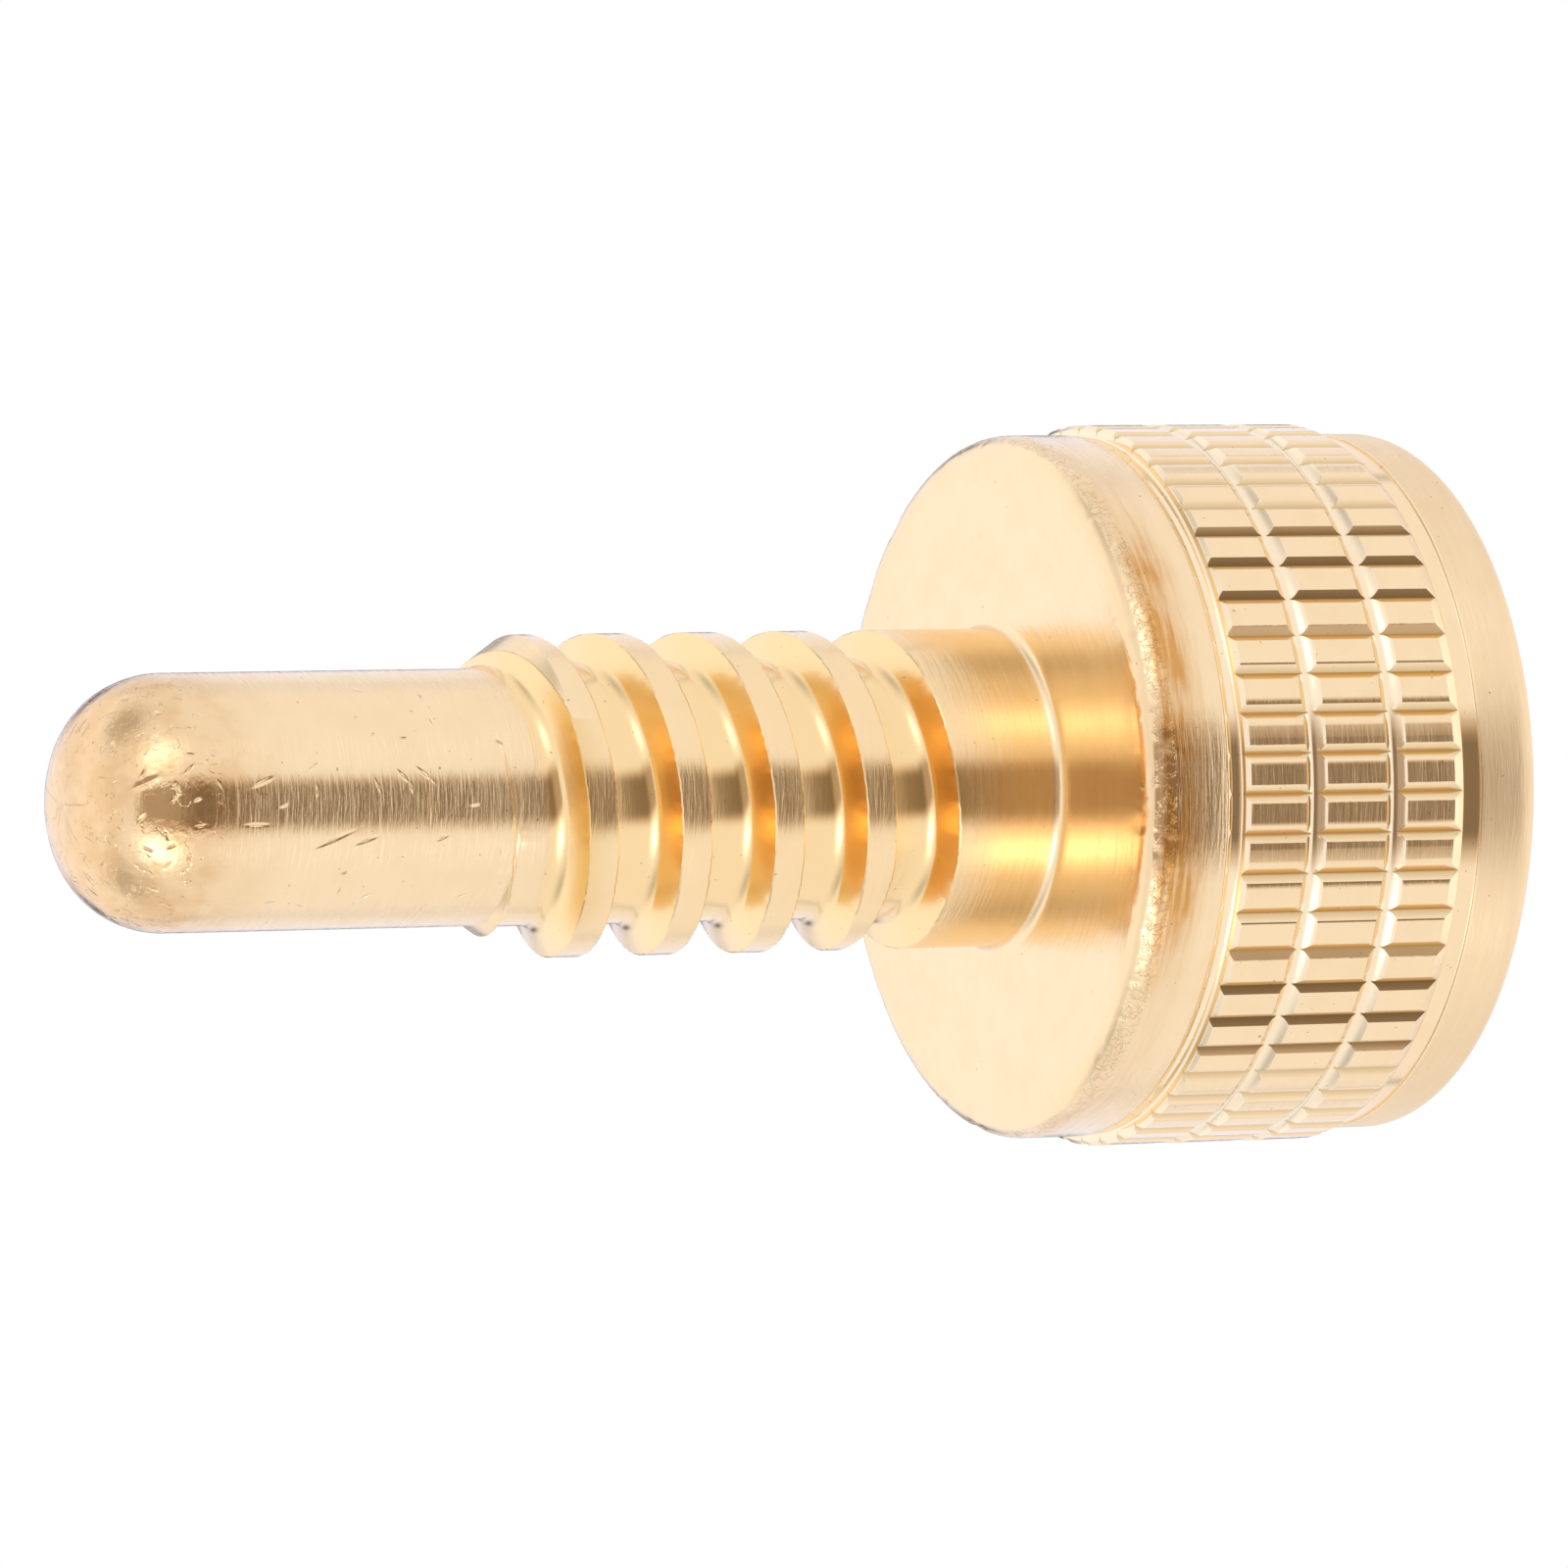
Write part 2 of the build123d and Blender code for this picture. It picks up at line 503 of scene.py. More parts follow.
def add_groove_rows(template, thread):
    """Section of the thread groove: each point's reach into the floor, reach up the flank, and height."""
    half_mouth, depth = groove_sizes(thread)
    wear = thread.edge_wear
    for kind in (LAST_EDGE, CONE_START, CONE_FOOT):
        template.add((0.0, 0.0, depth), part=GROOVE, side=1, kind=kind)

    def corner(side, flank, bend, steps):
        """Rows from the floor up to the crest on one side."""
        lean = atan2(flank, depth)
        half_floor = half_mouth - flank
        centre = half_floor - bend * (1 - sin(lean)) / cos(lean)
        rows = []
        for across, height in arc(centre, bend, bend, -90, -lean * 180 / pi, steps):
            rows.append((max(half_floor - across, 0.0), max(across - half_floor, 0.0), height))
        foot = rows[-1][2] / depth
        for part in (foot + (1 - foot) * 0.4, foot + (1 - foot) * 0.75):
            rows.append((0.0, flank * part, depth * part))
        rows.append((0.0, flank - wear / 2, depth - wear))
        rows.append((0.0, flank + wear, depth))
        return [(row, side) for row in rows]

    rows = corner(-1, thread.rear_flank, thread.rear_fillet, 7)[::-1]
    rows += [((half_mouth - thread.front_flank, 0.0, 0.0), 1)]
    rows += corner(1, thread.front_flank, thread.front_fillet, 3)
    for point, side in rows:
        burr = side > 0 and wear < point[1] < thread.front_flank - wear
        template.add(point, part=GROOVE, side=side, kind=GROOVE_ROW, smooth=0.85, burr=burr)


class ScrewTurning:
    """The Geometry Nodes tree that turns, threads and knurls the screw from its template."""

    def __init__(self, head, thread, pilot, brass):
        board = self.board = ShapeBoard("screw_turning")
        self.belt_radius = board.size("Belt radius", head.belt_diameter / 2)
        self.knurl_count = board.size("Knurl grooves", head.knurl_count)
        self.knurl_depth = board.size("Knurl depth", head.knurl_depth)
        self.bevel_depth = board.size("Bevel depth", head.bevel_depth)
        groove_pitch = pi * head.belt_diameter / head.knurl_count
        self.flank_share = board.size("Knurl flank share", head.knurl_flank / groove_pitch)
        self.bevel_share = board.size("Knurl bevel share", head.knurl_bevel / groove_pitch)
        self.phase = board.size("Knurl phase", head.knurl_phase)
        self.ring_depth = board.size("Ring depth", head.ring_depth)
        self.ring_half = board.size("Ring half width", head.ring_width / 2)
        self.thread_radius = board.size("Thread radius", thread.diameter / 2)
        self.core_radius = board.size("Core radius", thread.core / 2)
        self.pilot_radius = board.size("Pilot radius", pilot.diameter / 2)
        self.pitch = board.size("Pitch", thread.pitch)
        self.rear_flank = board.size("Rear flank", thread.rear_flank)
        self.front_flank = board.size("Front flank", thread.front_flank)
        self.edge_wear = board.size("Edge wear", thread.edge_wear)
        self.half_mouth = board.size("Half mouth", groove_sizes(thread)[0])
        self.end_height = board.size("Groove end height", groove_end_height(head, thread))
        self.dwell = board.size("Dwell", thread.dwell)
        self.draw_out = board.size("Draw-out", thread.draw_out)
        self.cone_start = board.size("Lead-in start", head.head_length + thread.shank + thread.thread_length)
        self.cone_length = board.size("Lead-in length", thread.lead_in)
        self.low_ring = board.size("Low ring", thread_low_ring(head, thread))
        self.top_ring = board.size("Top ring", thread_top_ring(head, thread))
        self.face_height = board.size("Face height", head.head_length)
        self.rim_radius = board.size("Rim radius", head.land_diameter / 2 - head.front_round)
        self.front_round = board.size("Front round", head.front_round)
        self.nose_height = board.size("Nose height", pilot.tip - pilot.nose_round)
        self.depth = self.thread_radius - self.core_radius
        self.cone_slope = (self.thread_radius - self.pilot_radius) / self.cone_length
        part = board.add("GeometryNodeInputNamedAttribute", {"data_type": "FLOAT"}, {"Name": "part"})
        pieces = [
            self.lathe(self.rows_of(part, HEAD)),
            self.lathe(self.rows_of(part, PILOT)),
            self.thread(self.rows_of(part, GROOVE)),
        ]
        whole = board.add("GeometryNodeJoinGeometry", sockets={"Geometry": pieces})
        whole = board.add("GeometryNodeMergeByDistance", sockets={"Geometry": whole, "Distance": 0.8e-6})
        whole = self.shade(whole)
        whole = self.wear(whole)
        whole = board.add("GeometryNodeRealizeInstances", sockets={"Geometry": whole})
        whole = board.add("GeometryNodeSetMaterial", sockets={"Geometry": whole, "Material": brass})
        board.finish(whole)

    def rows_of(self, part, number):
        """The template's points of one part, in their order."""
        chosen = self.board.add(
            "FunctionNodeCompare", {"data_type": "FLOAT", "operation": "EQUAL"},
            {"A": part, "B": float(number), "Epsilon": 0.1},
        )
        return self.board.add(
            "GeometryNodeSeparateGeometry", {"domain": "POINT"},
            {"Geometry": self.board.geometry, "Selection": chosen},
        )

    def grid(self, points, columns):
        """A grid with a row for each point, and its row and column numbers."""
        board = self.board
        rows = board.add("GeometryNodeAttributeDomainSize", {"component": "MESH"}, {"Geometry": points})
        grid = board.add(
            "GeometryNodeMeshGrid",
            sockets={"Size X": 1.0, "Size Y": 1.0, "Vertices X": columns + 1, "Vertices Y": rows},
        )
        index = board.add("GeometryNodeInputIndex")
        return grid, index % rows, ((index + 0.5) / rows).floor()

    def place(self, grid, radius, turn, height):
        """Moves the grid's points to their radius, turn and height."""
        spot = self.board.join(radius * turn.reckon("COSINE"), radius * turn.reckon("SINE"), height)
        return self.board.add("GeometryNodeSetPosition", sockets={"Geometry": grid, "Position": spot})

    def lathe(self, points):
        """Spins an outline; on the belt the knurl grooves cut into it."""
        board = self.board
        columns = self.knurl_count * COLUMNS_PER_GROOVE
        grid, row, column = self.grid(points, columns)
        spot = board.sample(points, board.add("GeometryNodeInputPosition"), row, "FLOAT_VECTOR")
        radius, _, height = board.split(spot)
        lean, drop, shaft, side, ring, smooth = (
            board.recall(name, points, row) for name in ("lean", "drop", "shaft", "side", "ring", "smooth")
        )
        groove = (column / COLUMNS_PER_GROOVE).floor()
        inside = column % COLUMNS_PER_GROOVE
        fold = inside.least(COLUMNS_PER_GROOVE - inside)
        flank, bevel = (fold / FLANK_STEPS).least(1.0), (fold - FLANK_STEPS).within(0.0, 1.0)
        top = (0.5 - self.flank_share - self.bevel_share) / (COLUMNS_PER_GROOVE / 2 - FLANK_STEPS - 1)
        across = flank * self.flank_share + bevel * self.bevel_share
        across = across + (fold - FLANK_STEPS - 1).most(0.0) * top
        late = inside.reckon("GREATER_THAN", COLUMNS_PER_GROOVE / 2)
        across = across + late * (1 - 2 * across)
        belt_turn = (groove + across) * (tau / self.knurl_count)
        shaft_turn = (column * SHAFT_COLUMNS / columns + 0.001).floor() * (tau / SHAFT_COLUMNS)
        turn = self.phase + belt_turn + shaft * (shaft_turn - belt_turn)
        cut = (self.knurl_depth - self.bevel_depth) * (1 - flank) + self.bevel_depth * (1 - bevel)
        groove_floor = self.belt_radius - cut
        knurled = radius.reckon("GREATER_THAN", groove_floor) * (1 - bevel)
        radius = radius.least(groove_floor)
        above = (self.ring_depth - self.belt_radius + radius) / self.ring_depth
        height = height + ring * side * self.ring_half * above.root() + lean * cut.least(drop)
        grid = self.mark(self.place(grid, radius, turn, height), "cut", smooth.most(knurled))
        # Darker brown goes on the floors of the knurl grooves
        return self.mark(grid, "grime", knurled * (1 - flank))

    def bar(self, height):
        """Radius of the uncut bar at a height: crest, lead-in cone and pilot."""
        cone = self.thread_radius - self.cone_slope * (height - self.cone_start)
        return cone.least(self.thread_radius).most(self.pilot_radius)

    def groove_point(self, turn, side, inset, reach, rise):
        """Height and radius of a point of the groove's section at a turn of the thread."""
        first = self.phase - DRAW_OUT_COLUMNS * tau / SHAFT_COLUMNS
        last = first + THREAD_COLUMNS * tau / SHAFT_COLUMNS
        middle = self.end_height + self.pitch * turn.most(0.0) / tau
        leaving = (-self.dwell - turn).within(0.0, pi / 2)
        swing = self.draw_out * leaving.reckon("SINE")
        reach_out = self.core_radius + self.draw_out
        floor = (reach_out * reach_out - swing * swing).root() - self.draw_out * leaving.reckon("COSINE")
        floor = floor.least(self.thread_radius)
        drawn = (self.thread_radius - floor) / self.depth
        flank = self.rear_flank + side.most(0.0) * (self.front_flank - self.rear_flank)
        half_floor = self.half_mouth - flank
        foot = middle + side * half_floor - self.cone_start
        coned = (self.depth - self.cone_slope * foot) / (self.depth + side * self.cone_slope * flank)
        deep = drawn.least(coned.within(0.0, 1.0))
        spread = deep.most(side.most(0.0) * (turn / tau).ramp(3.3, 3.6) * 0.6)
        lip = (reach - flank + 0.7 * self.edge_wear).reckon("GREATER_THAN", 0.0)
        ragged = self.board.noise(self.board.join(turn * 40.0, side * 10.0, 0.0), 1.0, 1.0) - 0.5
        jitter = lip * ragged * self.edge_wear * 4.0
        height = middle + side * (half_floor - inset + (reach + jitter) * spread)
        closing = CLOSING_COLUMNS * tau / SHAFT_COLUMNS
        begun, left = (turn - first) / closing, (last - turn) / closing
        open_share = begun.least(left).within(0.0, 1.0)
        home = self.low_ring + (self.top_ring - self.low_ring) * turn.reckon("GREATER_THAN", tau)
        height = home + (height - home) * open_share
        return height, (floor + rise * deep).least(self.bar(height))

    def thread(self, points):
        """Winds the groove's section round the shank as one strip, each turn joined to the one before."""
        board = self.board
        grid, row, column = self.grid(points, THREAD_COLUMNS + SHAFT_COLUMNS)
        spot = board.sample(points, board.add("GeometryNodeInputPosition"), row, "FLOAT_VECTOR")
        inset, reach, rise = board.split(spot)
        side, kind, burr = (board.recall(name, points, row) for name in ("side", "kind", "burr"))
        turn = self.phase + (column - DRAW_OUT_COLUMNS) * (tau / SHAFT_COLUMNS)
        rear_lip, front_lip = self.rear_flank + self.edge_wear, self.front_flank + self.edge_wear
        height, radius = self.groove_point(turn, side, inset, reach, rise)
        before, _ = self.groove_point(turn - tau, board.reckon("ADD", 1.0, 0.0), 0.0, front_lip, self.depth)
        ahead, _ = self.groove_point(turn, board.reckon("ADD", -1.0, 0.0), 0.0, rear_lip, self.depth)
        for number, level in (
            (LAST_EDGE, before),
            (CONE_START, self.cone_start.within(before, ahead)),
            (CONE_FOOT, (self.cone_start + self.cone_length).within(before, ahead)),
        ):
            here = 1 - abs(kind - number).least(1.0)
            height = height + here * (level - height)
            radius = radius + here * (self.bar(level) - radius)
        wound = turn / tau
        radius = radius + burr * wound.band(*BURR_TURNS) * self.edge_wear * 1.4
        smooth = board.recall("smooth", points, row) * (1 - wound.ramp(4.2, 4.5))
        smooth = smooth * (1 - side.most(0.0) * wound.ramp(3.7, 4.05))
        grid = self.mark(self.place(grid, radius, turn, height), "cut", smooth)
        # Painted amber reflection of the groove's walls, on the upper part of the first ridge's flank that
        # faces the nose
        climb = (reach / self.rear_flank).ramp(0.35, 0.7) * (1 - side).least(1.0)
        return self.mark(grid, "grime", climb * wound.band(*PAINTED_AMBER_TURNS))

    def mark(self, grid, name, value):
        """Keeps a value at each point for the material."""
        return self.board.add(
            "GeometryNodeStoreNamedAttribute", {"data_type": "FLOAT", "domain": "POINT"},
            {"Geometry": grid, "Name": name, "Value": value},
        )

    def shade(self, whole):
        """Smooth faces, with the edges sharp where the metal turns a corner."""
        board = self.board
        bend = board.add("GeometryNodeInputMeshEdgeAngle")
        smooth = bend.reckon("LESS_THAN", SHARP_BEND)
        whole = board.add(
            "GeometryNodeSetShadeSmooth", {"domain": "FACE"}, {"Geometry": whole, "Shade Smooth": True}
        )
        return board.add(
            "GeometryNodeSetShadeSmooth", {"domain": "EDGE"}, {"Geometry": whole, "Shade Smooth": smooth}
        )

    def wear(self, whole):
        """Knocks along the head's front edge and a slightly lumpy nose."""
        board = self.board
        spot = board.add("GeometryNodeInputPosition")
        x, y, z = board.split(spot)
        radius = (x * x + y * y).root()
        out = (radius - self.rim_radius) / self.front_round
        up = (z - self.face_height + self.front_round) / self.front_round
        rim = out.ramp(-0.35, 0.25) * up.ramp(-0.35, 0.25)
        knocks = board.noise(spot, 1.6 * PER_METRE, 2.0, 0.5) - 0.5
        chips = (board.noise(spot, 3.6 * PER_METRE, 2.0, 0.5) - 0.5) * (1 - up.ramp(0.55, 0.9))
        sunk = rim * (knocks * 0.12 * MM + chips * 0.07 * MM).least(0.0)
        lumps = (z - self.nose_height).ramp(-0.4 * MM, 1.0 * MM)
        sunk = sunk - lumps * board.noise(spot, 0.9 * PER_METRE, 2.0, 0.5) * 0.03 * MM
        away = board.add("GeometryNodeInputNormal")
        offset = board.add("ShaderNodeVectorMath", {"operation": "SCALE"}, {"Vector": away, "Scale": sunk})
        return board.add("GeometryNodeSetPosition", sockets={"Geometry": whole, "Offset": offset})


# Heights in millimetres between which the brass of one zone gives way to the next
THREAD_ZONE = (13.0, 26.2, 0.4)
CREST_ZONE = (14.8, 25.4, 0.3)
PILOT_START = (25.2, 25.8)
NOSE_START = (32.9, 33.9)
NOSE_FILM = (31.0, 34.4)
REAR_LAND_END = (1.7, 1.8)

# Brown film beside the front edge: middle and half width in degrees, and strength
FILM_PATCHES = ((13.0, 13.0, 1.0), (36.0, 15.0, 0.7), (60.0, 15.0, 0.7))

MOTTLED_BRASS = (0.86, 0.58, 0.27, 1.0)
CUT_BRASS = (0.93, 0.64, 0.27, 1.0)
NOSE_BROWN = (0.72, 0.4, 0.14, 1.0)
# Painted sheen: paler brass where the ring grooves, the front relief and the rear land's step reflect the
# tent's light
PAINTED_SHEEN_BRASS = (0.95, 0.8, 0.52, 1.0)
# Darker brown for the floors of the knurl grooves
KNURL_FLOOR_BROWN = (0.5, 0.31, 0.1, 1.0)
# Painted reflection: the amber that the groove's walls throw on the first thread flank
PAINTED_AMBER_REFLECTION = (0.72, 0.36, 0.05, 1.0)
SPECK = (0.3, 0.17, 0.06, 1.0)
BUMP_HEIGHT = 0.011 * MM

# Nicks on the pilot: turn in degrees, height, half length, half width, and slant from the turning direction
NICKS = (
    (38.6, 35.05, 0.26, 0.07, -69.0),
    (36.3, 32.2, 0.2, 0.04, -68.0),
    (17.6, 32.35, 0.2, 0.035, 90.0),
    (9.9, 30.35, 0.38, 0.04, -67.0),
    (9.6, 29.45, 0.22, 0.035, -71.0),
    (28.6, 27.75, 0.7, 0.03, 0.0),
    (38.6, 27.9, 0.2, 0.03, 49.0),
    (38.2, 28.5, 0.13, 0.03, 42.0),
)


def brass_material(finish, head):
    """Bare turned brass with brush lines, nicks, polished reliefs, a brown film beside the front edge,
    painted sheen in the ring grooves and a painted amber reflection on the first thread flank.
    """
    material = bpy.data.materials.new("turned_brass")
    material.use_nodes = True
    material.node_tree.nodes.clear()
    board = Board(material.node_tree)
    spot = board.add("ShaderNodeTexCoord", output="Object")
    spot = board.add("ShaderNodeVectorMath", {"operation": "SCALE"}, {"Vector": spot, "Scale": PER_METRE})
    x, y, z = board.split(spot)
    radius = (x * x + y * y).root()
    turn = y.reckon("ARCTAN2", x)

    def brush(around, across):
        """Lines round the axis: how often they break off and how close they lie, per millimetre."""
        return board.noise(board.join(x * around, y * around, (z + radius * 0.62) * across), 1.0, 3.0, 0.6)

    def nick(place, height, half_length, half_width, slant):
        """A short dent pressed into the pilot."""
        around, up = (turn - radians(place)) * radius, z - height
        slant = radians(slant)
        along, across = around * cos(slant) + up * sin(slant), up * cos(slant) - around * sin(slant)
        return (along / half_length).bell() * (across / half_width).bell()

    def scuffs(crowd, half_length, half_width, spared):
        """Short scratches at random on the pilot: how many per millimetre, and the share left out."""
        spread = {"Vector": board.join(turn * 3.0, z, 0.0), "Scale": crowd}
        kind, dimensions = "ShaderNodeTexVoronoi", {"voronoi_dimensions": "2D"}
        middle_around, middle_up, _ = board.split(board.add(kind, dimensions, spread, "Position"))
        chance, pick, _ = board.split(board.add(kind, dimensions, spread, "Color"))
        around, up = turn * 3.0 - middle_around, z - middle_up
        slant = chance * pi
        along = around * slant.reckon("COSINE") + up * slant.reckon("SINE")
        across = up * slant.reckon("COSINE") - around * slant.reckon("SINE")
        chosen = pick.reckon("GREATER_THAN", spared)
        return (along / half_length).bell() * (across / half_width).bell() * chosen

    foot_low, top_low, top_high, foot_high, front_low = (value / MM for value in head_heights(head))
    face = head.head_length / MM
    relief = z.band(head.rear_land / MM + 0.03, foot_low, 0.02) + z.band(foot_high, front_low - 0.03, 0.02)
    relief = relief.least(1.0) * radius.ramp(8.0, 8.2)
    cut = board.add("ShaderNodeAttribute", {"attribute_name": "cut"}, output="Fac")
    # Floors of the knurl grooves, and the first thread flank's painted amber reflection
    grime = board.add("ShaderNodeAttribute", {"attribute_name": "grime"}, output="Fac")
    polish = relief.most(cut)
    thread = z.band(*THREAD_ZONE)
    pilot = z.ramp(*PILOT_START)
    nose = z.ramp(*NOSE_START)
    belt = z.band(foot_low, foot_high, 0.02) * radius.ramp(8.6, 8.75)
    rear_land = 1 - z.ramp(*REAR_LAND_END)
    front_land = z.ramp(front_low - 0.1, front_low) * radius.ramp(8.0, 8.4)
    edge = z.ramp(face - 0.75, face - 0.55) * (1 - z.ramp(face - 0.3, face - 0.18)) * front_land
    # Painted sheen: paler brass on the front relief, the rear land's step and the ring grooves, for the
    # light that they reflect
    rear_step = head.rear_land / MM
    painted_sheen = z.band(top_high, front_low - 0.1, 0.02) + z.band(rear_step - 0.04, rear_step + 0.04, 0.02)
    for place in (head.ring_rear, head.ring_front):
        ring = top_low + place * (top_high - top_low)
        painted_sheen = painted_sheen + ((z - ring) / (head.ring_width / MM / 2)).band(-1.0, 1.0, 0.1)
    painted_sheen = painted_sheen.least(1.0) * radius.ramp(8.0, 8.2)

    mottle = board.noise(spot, 0.9, 4.0, 0.6)
    stain = board.noise(spot, 0.8, 3.0, 0.5)
    specks = board.noise(spot, 7.0, 1.0, 0.5).ramp(0.76, 0.8)
    fine, coarse = brush(0.9, 14.0), brush(0.6, 6.0)
    patches = 0.12
    for middle, half_width, strength in FILM_PATCHES:
        patches = patches + ((turn - radians(middle)) / radians(half_width)).bell() * strength
    film = z.ramp(face - 1.85, face - 0.9) * (1 - z.ramp(face - 0.5, face - 0.25) * 0.85)
    film = film * radius.ramp(7.6, 8.4) * patches
    film = film * (0.65 + 0.45 * stain.ramp(0.3, 0.7)) * (0.7 + 0.6 * coarse.ramp(0.38, 0.62))
    nose_film = z.ramp(*NOSE_FILM) * (0.5 + 0.7 * mottle.ramp(0.35, 0.68))
    tint = board.blend(mottle.ramp(0.4, 0.75) * 0.25, (*finish.brass, 1.0), MOTTLED_BRASS)
    tint = board.blend(cut * thread, tint, CUT_BRASS)
    tint = board.blend(film.least(1.0), tint, (*finish.tarnish, 1.0))
    tint = board.blend(nose_film.least(1.0) * 0.6, tint, NOSE_BROWN)
    # Painted sheen, kept off the knurl floors and the amber flank
    tint = board.blend(painted_sheen * (1 - grime) * 0.45, tint, PAINTED_SHEEN_BRASS)
    # Darker brown on the knurl grooves' floors, and the painted amber reflection on the first thread flank
    deep = board.blend(thread, KNURL_FLOOR_BROWN, PAINTED_AMBER_REFLECTION)
    tint = board.blend(grime * (0.65 + thread * 0.15), tint, deep)
    tint = board.blend(specks * 0.6, tint, SPECK)

    rough = finish.turned_roughness + coarse.ramp(0.4, 0.65) * 0.06 + film * 0.08
    rough = rough + rear_land * 0.25 - nose * 0.04 + thread * 0.05 - belt * 0.04
    smooth = finish.polished_roughness + (1 - relief) * (0.04 + thread * 0.05)
    rough = rough + polish * (smooth - rough)
    bite = (1 - polish * 0.93) * (1 - belt * 0.4) * (1 - nose * 0.7)
    crests = z.band(*CREST_ZONE)
    bite = bite * (1 + pilot * 1.5 + front_land * 1.2 + crests * 1.2 + rear_land * 0.8)
    scratches = 1 - (abs(board.noise(spot, 1.5, 2.0, 0.6) - 0.5) / 0.014).least(1.0)
    scratches = scratches * board.noise(spot, 1.9, 2.0, 0.5).ramp(0.48, 0.56) * nose * 0.5
    scratches = scratches + scuffs(1.7, 0.1, 0.032, 0.35) * nose + scuffs(1.2, 0.11, 0.025, 0.82) * pilot
    dents = nick(*NICKS[0])
    for place in NICKS[1:]:
        dents = dents + nick(*place)
    flakes = abs(board.noise(spot, 3.0, 3.0, 0.5) - 0.5).ramp(0.02, 0.05) * edge
    dimples = board.noise(spot, 4.0, 2.0, 0.5) * nose
    marks = (fine + coarse) * 0.6 * bite - scratches * 2.2 - dents * 2.6 - flakes * 2.0 + dimples * 1.2
    normal = board.add(
        "ShaderNodeBump", sockets={"Strength": 1.0, "Distance": BUMP_HEIGHT, "Height": marks}
    )
    skin = board.add(
        "ShaderNodeBsdfPrincipled",
        sockets={
            "Base Color": tint, "Metallic": 1.0, "Roughness": rough, "Normal": normal,
            "Anisotropic": 0.7, "Anisotropic Rotation": 0.25,
        },
    )
    board.add("ShaderNodeOutputMaterial", sockets={"Surface": skin})
    return material


def new_object(name, data):
    made = bpy.data.objects.new(name, data)
    bpy.context.scene.collection.objects.link(made)
    return made


class SCREW_OT_turn(bpy.types.Operator):
    """Turns the brass screw and puts it in the place of its CAD node."""

    bl_idname = "weight_screw.turn"
    bl_label = "Turn the screw"

    def execute(self, context):
        scene = context.scene
        head, thread, pilot = scene.screw_head, scene.screw_thread, scene.screw_pilot
        template = Template()
        add_head_rows(template, head, thread)
        add_pilot_rows(template, head, thread, pilot)
        add_groove_rows(template, thread)
        brass = brass_material(scene.screw_brass, head)
        screw = new_object("turned_screw", template.mesh("turned_screw"))
        ScrewTurning(head, thread, pilot, brass).board.shape(screw)
        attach(screw, "root")
        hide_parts(SCREW_NODE)
        return {"FINISHED"}


# Camera's sensor width in millimetres, and its lens length in sensor widths
SENSOR = 36.0
LENS_PER_SENSOR = 7.52348
GAP_TINT = (1.0, 0.75, 0.57, 1.0)


def floor_mesh(studio):
    """Flat disc whose edge curves up all round, as a seamless backdrop does."""
    sides = 96
    rings = [(studio.floor_radius * part, 0.0) for part in (0.25, 0.6, 1.0)]
    rise = studio.floor_rise
    rings += [
        (studio.floor_radius + rise * sin(turn), rise * (1 - cos(turn)))
        for turn in (radians(step * 6) for step in range(1, 16))
    ]
    points, faces = [(0.0, 0.0, 0.0)], []
    for radius, height in rings:
        for side in range(sides):
            turn = tau * side / sides
            points.append((radius * cos(turn), radius * sin(turn), height))
    for side in range(sides):
        after = (side + 1) % sides
        faces.append((0, 1 + side, 1 + after))
        for ring in range(len(rings) - 1):
            low, high = 1 + ring * sides, 1 + (ring + 1) * sides
            faces.append((low + side, high + side, high + after, low + after))
    made = bpy.data.meshes.new("pale_floor")
    made.from_pydata(points, [], faces)
    made.polygons.foreach_set("use_smooth", [True] * len(faces))
    return made


def floor_material(studio):
    material = bpy.data.materials.new("pale_floor")
    material.use_nodes = True
    material.node_tree.nodes.clear()
    board = Board(material.node_tree)
    glow = board.add("ShaderNodeEmission", sockets={"Color": (*studio.floor, 1.0), "Strength": 1.0})
    board.add("ShaderNodeOutputMaterial", sockets={"Surface": glow})
    return material


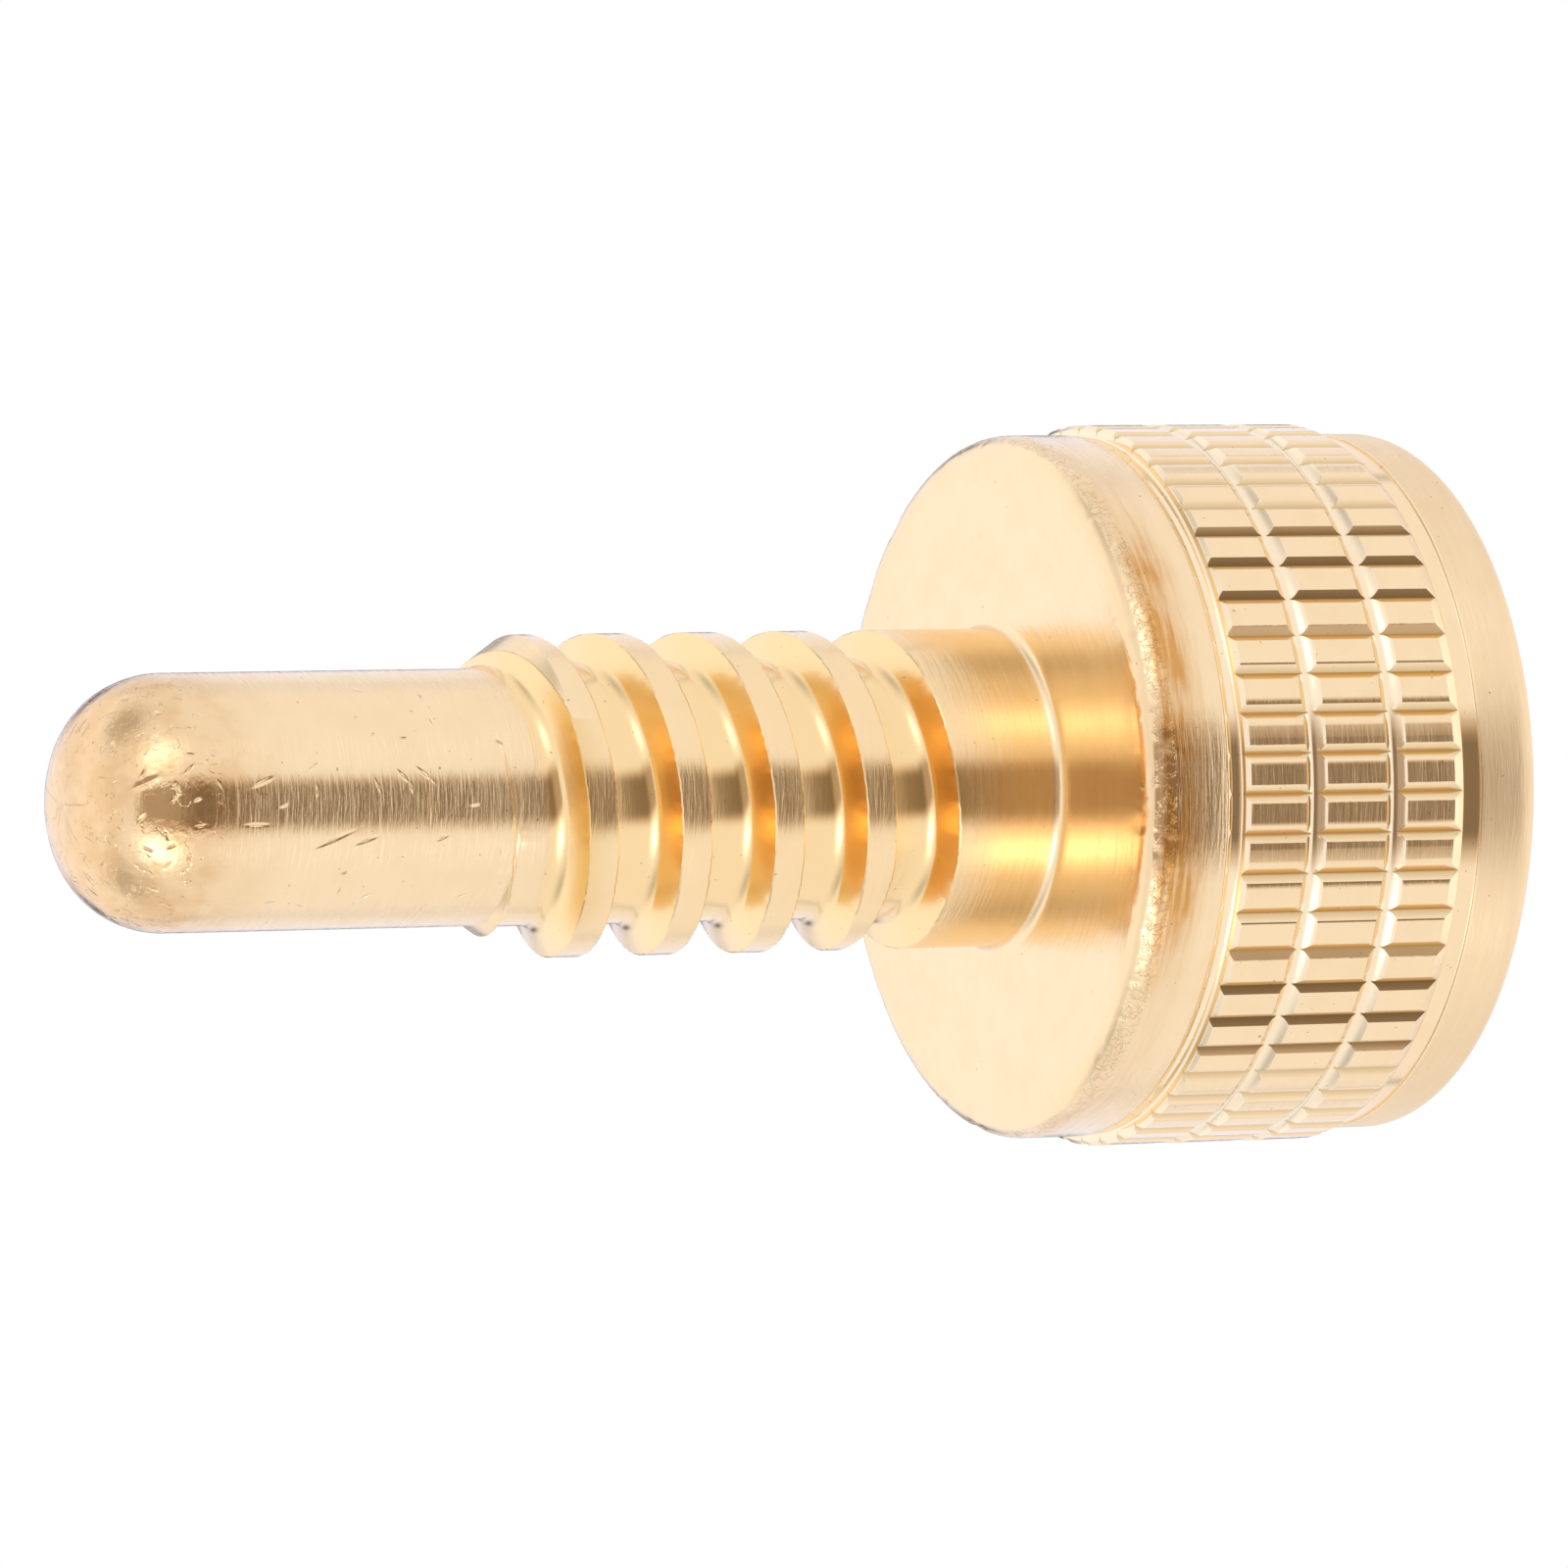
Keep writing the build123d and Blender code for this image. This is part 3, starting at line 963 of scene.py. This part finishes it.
def studio_world(studio):
    """White tent with a dark gap towards the camera and a soft lamp on each side of it."""
    world = bpy.data.worlds.new("studio_tent")
    world.use_nodes = True
    world.node_tree.nodes.clear()
    board = Board(world.node_tree)
    aim = board.add("ShaderNodeTexCoord", output="Generated")
    azimuth = studio.camera_azimuth

    def towards(vector):
        return board.add(
            "ShaderNodeVectorMath", {"operation": "DOT_PRODUCT"}, {0: aim, 1: vector}, output="Value"
        )

    elevation = studio.camera_elevation
    front = towards((cos(azimuth), sin(azimuth), 0.0))
    side = towards((sin(azimuth), -cos(azimuth), 0.0))
    turn = side.reckon("ARCTAN2", front) * (180 / pi)
    rise = towards((0.0, 0.0, 1.0)).within(-1.0, 1.0).reckon("ARCSINE") * (180 / pi)

    def apart(depression):
        """Degrees from a direction behind the screw, given its angle below the horizon."""
        flat = cos(depression)
        aside = towards((-cos(azimuth) * flat, -sin(azimuth) * flat, -sin(depression)))
        return aside.within(-1.0, 1.0).reckon("ARCCOSINE") * (180 / pi)

    away = apart(elevation)
    wide = abs(turn)
    gap = (turn - 3.0).band(-14.0, 14.0, 15.0) * rise.ramp(-42.0, -29.0) * (1 - rise.ramp(52.0, 57.0))
    gap = gap * (0.8 - 0.22 * rise.ramp(-10.0, 20.0))
    lamps = (((turn - 47.0) / 13.0).bell() * 1.9 + ((turn + 47.0) / 13.0).bell() * 1.05)
    lamps = lamps * ((rise - 25.0) / 18.0).bell()
    shade = ((wide - 102.0) / 18.0).bell() * ((rise - 30.0) / 20.0).bell()
    backdrop = 1 - away.ramp(45.0, 50.0)
    seam = ((away - 52.0) / 2.3).bell() * (1 - rise.ramp(-5.0, 8.0))
    outline = 1 - apart(radians(24.0)).ramp(9.0, 14.0)
    corners = ((wide - 162.0) / 7.0).bell() * ((rise + 8.0) / 8.0).bell()
    under = 1 - rise.ramp(-75.0, -50.0)
    far = wide.ramp(95.0, 130.0) * rise.ramp(0.0, 12.0)
    light = 1.0 + far * 0.12 + under * 0.3 + lamps - backdrop * 0.03 - shade * 0.4 - seam * 0.34
    light = light * (1 - gap) * (1 - outline * 0.95) * (1 - corners * 0.9)
    tint = board.blend(gap, (*studio.tent, 1.0), GAP_TINT)
    glow = board.add("ShaderNodeBackground", sockets={"Color": tint, "Strength": light * studio.brightness})
    board.add("ShaderNodeOutputWorld", sockets={"Surface": glow})
    return world


def studio_camera(studio):
    """Camera at the photograph's angle, turned on its side because the screw stands on its head."""
    azimuth, elevation, roll = studio.camera_azimuth, studio.camera_elevation, studio.camera_roll
    across = Vector((cos(azimuth), sin(azimuth), 0.0))
    up = Vector((-sin(azimuth), cos(azimuth), 0.0))
    axis = Vector((0.0, 0.0, 1.0))
    back = across * cos(elevation) + axis * sin(elevation)
    right = across * sin(elevation) - axis * cos(elevation)
    turned_right = right * cos(roll) - up * sin(roll)
    turned_up = right * sin(roll) + up * cos(roll)
    data = bpy.data.cameras.new("studio_camera")
    data.sensor_width, data.lens = SENSOR, SENSOR * LENS_PER_SENSOR
    data.clip_start, data.clip_end = 0.01, 10.0
    camera = new_object("studio_camera", data)
    place = axis * studio.look_height + up * studio.look_offset + back * studio.camera_distance
    turned = Matrix((turned_right, turned_up, back)).transposed().to_4x4()
    camera.matrix_world = Matrix.Translation(place) @ turned
    return camera


class SCREW_OT_stage(bpy.types.Operator):
    """Sets the floor, the light and the camera."""

    bl_idname = "weight_screw.stage"
    bl_label = "Set the stage"

    def execute(self, context):
        scene = context.scene
        studio = scene.screw_studio
        floor = new_object("pale_floor", floor_mesh(studio))
        floor.data.materials.append(floor_material(studio))
        floor.visible_glossy = False
        scene.world = studio_world(studio)
        scene.camera = studio_camera(studio)
        scene.view_settings.view_transform = "Standard"
        return {"FINISHED"}


class SCREW_PT_panel(bpy.types.Panel):
    """Lists the screw's sizes, finish and stage in the sidebar."""

    bl_label = "Weight screw"
    bl_idname = "SCREW_PT_panel"
    bl_space_type = "VIEW_3D"
    bl_region_type = "UI"
    bl_category = "Weight screw"

    def draw(self, context):
        for operator in (SCREW_OT_turn, SCREW_OT_stage):
            self.layout.operator(operator.bl_idname)
        for name in GROUPS:
            group = getattr(context.scene, name)
            box = self.layout.box()
            for prop in group.__annotations__:
                box.prop(group, prop)


GROUPS = {
    "screw_head": HeadSizes,
    "screw_thread": ThreadSizes,
    "screw_pilot": PilotSizes,
    "screw_brass": BrassFinish,
    "screw_studio": StudioLight,
}
CLASSES = (*GROUPS.values(), SCREW_OT_turn, SCREW_OT_stage, SCREW_PT_panel)


def register():
    for item in CLASSES:
        bpy.utils.register_class(item)
    for name, group in GROUPS.items():
        setattr(bpy.types.Scene, name, PointerProperty(type=group))


def unregister():
    for name in GROUPS:
        delattr(bpy.types.Scene, name)
    for item in reversed(CLASSES):
        bpy.utils.unregister_class(item)


def main():
    register()
    bpy.ops.weight_screw.turn()
    bpy.ops.weight_screw.stage()


if __name__ == "__main__":
    main()
